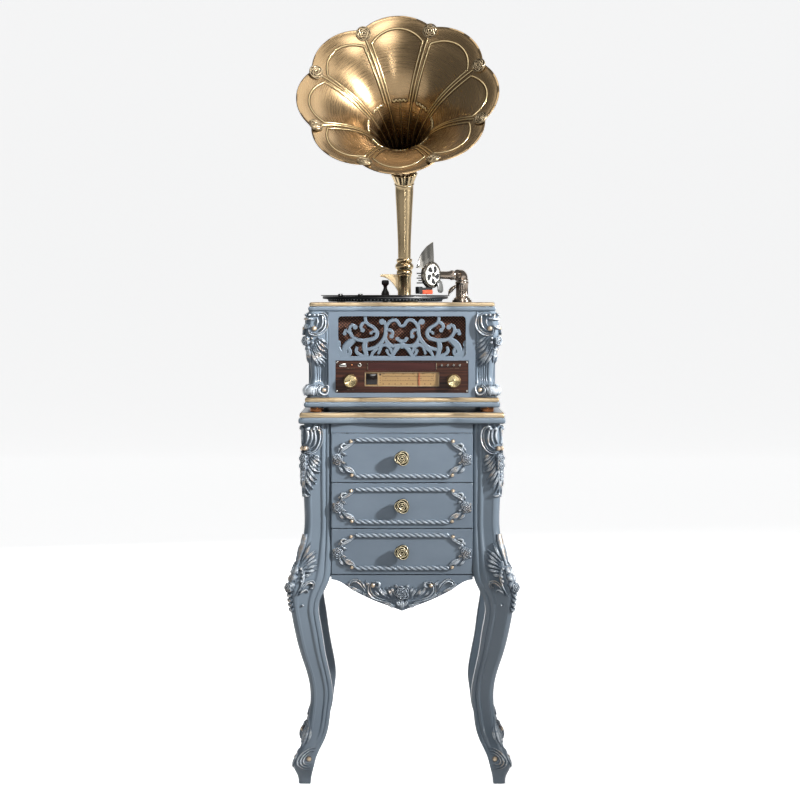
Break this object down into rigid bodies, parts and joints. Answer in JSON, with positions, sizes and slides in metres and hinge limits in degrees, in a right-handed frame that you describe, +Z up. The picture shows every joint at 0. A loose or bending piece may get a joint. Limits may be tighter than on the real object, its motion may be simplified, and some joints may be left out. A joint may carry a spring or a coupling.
{
  "type": "record player",
  "caption": "Floor-standing gramophone-style record player with a petalled brass horn, tone arm, radio front and a painted drawer cabinet on cabriole legs.",
  "frame": {"origin": "on the floor under the middle of the four feet", "axes": "+Z up, the front with the drawers and radio faces -Y, +X to the right seen from the front"},
  "size_m": [0.5216, 0.4956, 1.7768],
  "materials": {
    "painted_wood": "blue-grey satin paint with gilt lines",
    "carved_wood": "blue-grey paint, silver dry-brushed on the high points",
    "plain_wood": "planed, lightly lacquered",
    "rosewood": "dark rosewood veneer, lacquered",
    "horn_brass": "antique brushed brass",
    "knob_brass": "antique brass, dark in the recesses",
    "foot_bronze": "polished bronze",
    "arm_bronze": "gunmetal bronze",
    "bright_metal": "polished",
    "sheet_steel": "plain",
    "platter_metal": "cast, turned rim",
    "speaker_fabric": "brown and gold diagonal weave",
    "dial_amber": "printed amber dial",
    "red_plastic": "gloss",
    "tray_plastic": "red-brown gloss",
    "black_plastic": "black",
    "vinyl": "black grooved vinyl",
    "belt_rubber": "black",
    "circuit_board": "green solder mask"
  },
  "bodies": {
    "cabinet": {"leg_front_left": "painted_wood", "leg_front_right": "painted_wood", "leg_rear_left": "painted_wood", "leg_rear_right": "painted_wood", "cabinet_top_board": "painted_wood", "cabinet_sides": "painted_wood", "cabinet_back": "painted_wood", "front_apron": "painted_wood", "top_rail": "painted_wood", "player_base_board": "painted_wood", "player_sides": "painted_wood", "player_back": "painted_wood", "front_panel": "painted_wood", "deck_board": "painted_wood", "grille_fretwork": "painted_wood", "cabinet_carvings": "carved_wood", "corner_pilasters": "carved_wood", "cabinet_bottom": "plain_wood", "drawer_runners": "plain_wood", "radio_panel": "rosewood", "horn_bracket": "horn_brass", "player_feet": "foot_bronze", "tonearm_base": "arm_bronze", "disc_mechanism": "sheet_steel", "motor": "sheet_steel", "loudspeakers": "sheet_steel", "speaker_cloth": "speaker_fabric", "dial_plate": "dial_amber", "power_inlet": "black_plastic", "drive_belt": "belt_rubber", "amplifier_board": "circuit_board"},
    "upper_drawer": {"upper_drawer_front": "painted_wood", "upper_drawer_box": "plain_wood", "upper_drawer_knob": "knob_brass"},
    "middle_drawer": {"middle_drawer_front": "painted_wood", "middle_drawer_box": "plain_wood", "middle_drawer_knob": "knob_brass"},
    "lower_drawer": {"lower_drawer_front": "painted_wood", "lower_drawer_box": "plain_wood", "lower_drawer_knob": "knob_brass"},
    "turntable": {"platter": "platter_metal", "record": "vinyl", "record_clamp": "black_plastic"},
    "pulley": {"motor_pulley": "sheet_steel"},
    "arm_swivel": {"tonearm_elbow": "arm_bronze"},
    "arm": {"tonearm_tube": "arm_bronze", "reproducer": "bright_metal", "cartridge": "black_plastic"},
    "tray": {"disc_tray": "tray_plastic"},
    "volume": {"volume_knob": "horn_brass"},
    "tuning": {"tuning_knob": "horn_brass"},
    "pointer": {"dial_pointer": "red_plastic"},
    "power": {"power_button": "bright_metal"},
    "mode": {"mode_button": "bright_metal"},
    "previous": {"previous_button": "bright_metal"},
    "next": {"next_button": "bright_metal"},
    "start": {"start_knob": "black_plastic"},
    "speed": {"speed_knob": "black_plastic"},
    "horn": {"horn_stem": "horn_brass", "horn_bell": "horn_brass"}
  },
  "joints": [
    {"name": "upper_drawer_slide", "type": "slide", "parent": "cabinet", "child": "upper_drawer", "axis": [0, -1, 0], "range_m": [0, 0.28]},
    {"name": "middle_drawer_slide", "type": "slide", "parent": "cabinet", "child": "middle_drawer", "axis": [0, -1, 0], "range_m": [0, 0.28]},
    {"name": "lower_drawer_slide", "type": "slide", "parent": "cabinet", "child": "lower_drawer", "axis": [0, -1, 0], "range_m": [0, 0.28]},
    {"name": "platter_spin", "type": "hinge", "parent": "cabinet", "child": "turntable", "pos_m": [-0.039, -0.03, 1.1], "axis": [0, 0, -1], "continuous": true},
    {"name": "pulley_spin", "type": "hinge", "parent": "cabinet", "child": "pulley", "pos_m": [-0.135, -0.03, 1.1], "axis": [0, 0, -1], "continuous": true},
    {"name": "arm_swing", "type": "hinge", "parent": "cabinet", "child": "arm_swivel", "pos_m": [0.142, 0.03, 1.1633], "axis": [0, 0, 1], "range_deg": [-22, 26]},
    {"name": "arm_lift", "type": "hinge", "parent": "arm_swivel", "child": "arm", "pos_m": [0.1256, 0.01113, 1.1633], "axis": [-0.7547, 0.6561, 0], "range_deg": [0, 35]},
    {"name": "tray_slide", "type": "slide", "parent": "cabinet", "child": "tray", "axis": [0, -1, 0], "range_m": [0, 0.13]},
    {"name": "volume_turn", "type": "hinge", "parent": "cabinet", "child": "volume", "pos_m": [-0.118, -0.2, 0.9205], "axis": [0, 1, 0], "range_deg": [-150, 150]},
    {"name": "tuning_turn", "type": "hinge", "parent": "cabinet", "child": "tuning", "pos_m": [0.118, -0.2, 0.9205], "axis": [0, 1, 0], "range_deg": [-540, 210]},
    {"name": "pointer_slide", "type": "slide", "parent": "cabinet", "child": "pointer", "axis": [1, 0, 0], "range_m": [-0.0875, 0.0345]},
    {"name": "power_press", "type": "slide", "parent": "cabinet", "child": "power", "axis": [0, 1, 0], "range_m": [0, 0.0015], "stiffness_N_per_m": 300},
    {"name": "mode_press", "type": "slide", "parent": "cabinet", "child": "mode", "axis": [0, 1, 0], "range_m": [0, 0.0015], "stiffness_N_per_m": 300},
    {"name": "previous_press", "type": "slide", "parent": "cabinet", "child": "previous", "axis": [0, 1, 0], "range_m": [0, 0.0015], "stiffness_N_per_m": 300},
    {"name": "next_press", "type": "slide", "parent": "cabinet", "child": "next", "axis": [0, 1, 0], "range_m": [0, 0.0015], "stiffness_N_per_m": 300},
    {"name": "start_turn", "type": "hinge", "parent": "cabinet", "child": "start", "pos_m": [-0.148, 0.15, 1.1], "axis": [0, 0, -1], "range_deg": [0, 60]},
    {"name": "speed_turn", "type": "hinge", "parent": "cabinet", "child": "speed", "pos_m": [-0.1, 0.15, 1.1], "axis": [0, 0, -1], "range_deg": [-45, 45]},
    {"name": "horn_swivel", "type": "hinge", "parent": "cabinet", "child": "horn", "pos_m": [0.006, 0.165, 1.1673], "axis": [0, 0, 1], "range_deg": [-40, 40]}
  ],
  "couplings": [
    {"joint": "pulley_spin", "follows": "platter_spin", "ratio": 10.333},
    {"joint": "pointer_slide", "follows": "tuning_turn", "m_per_rad": 0.0092}
  ]
}
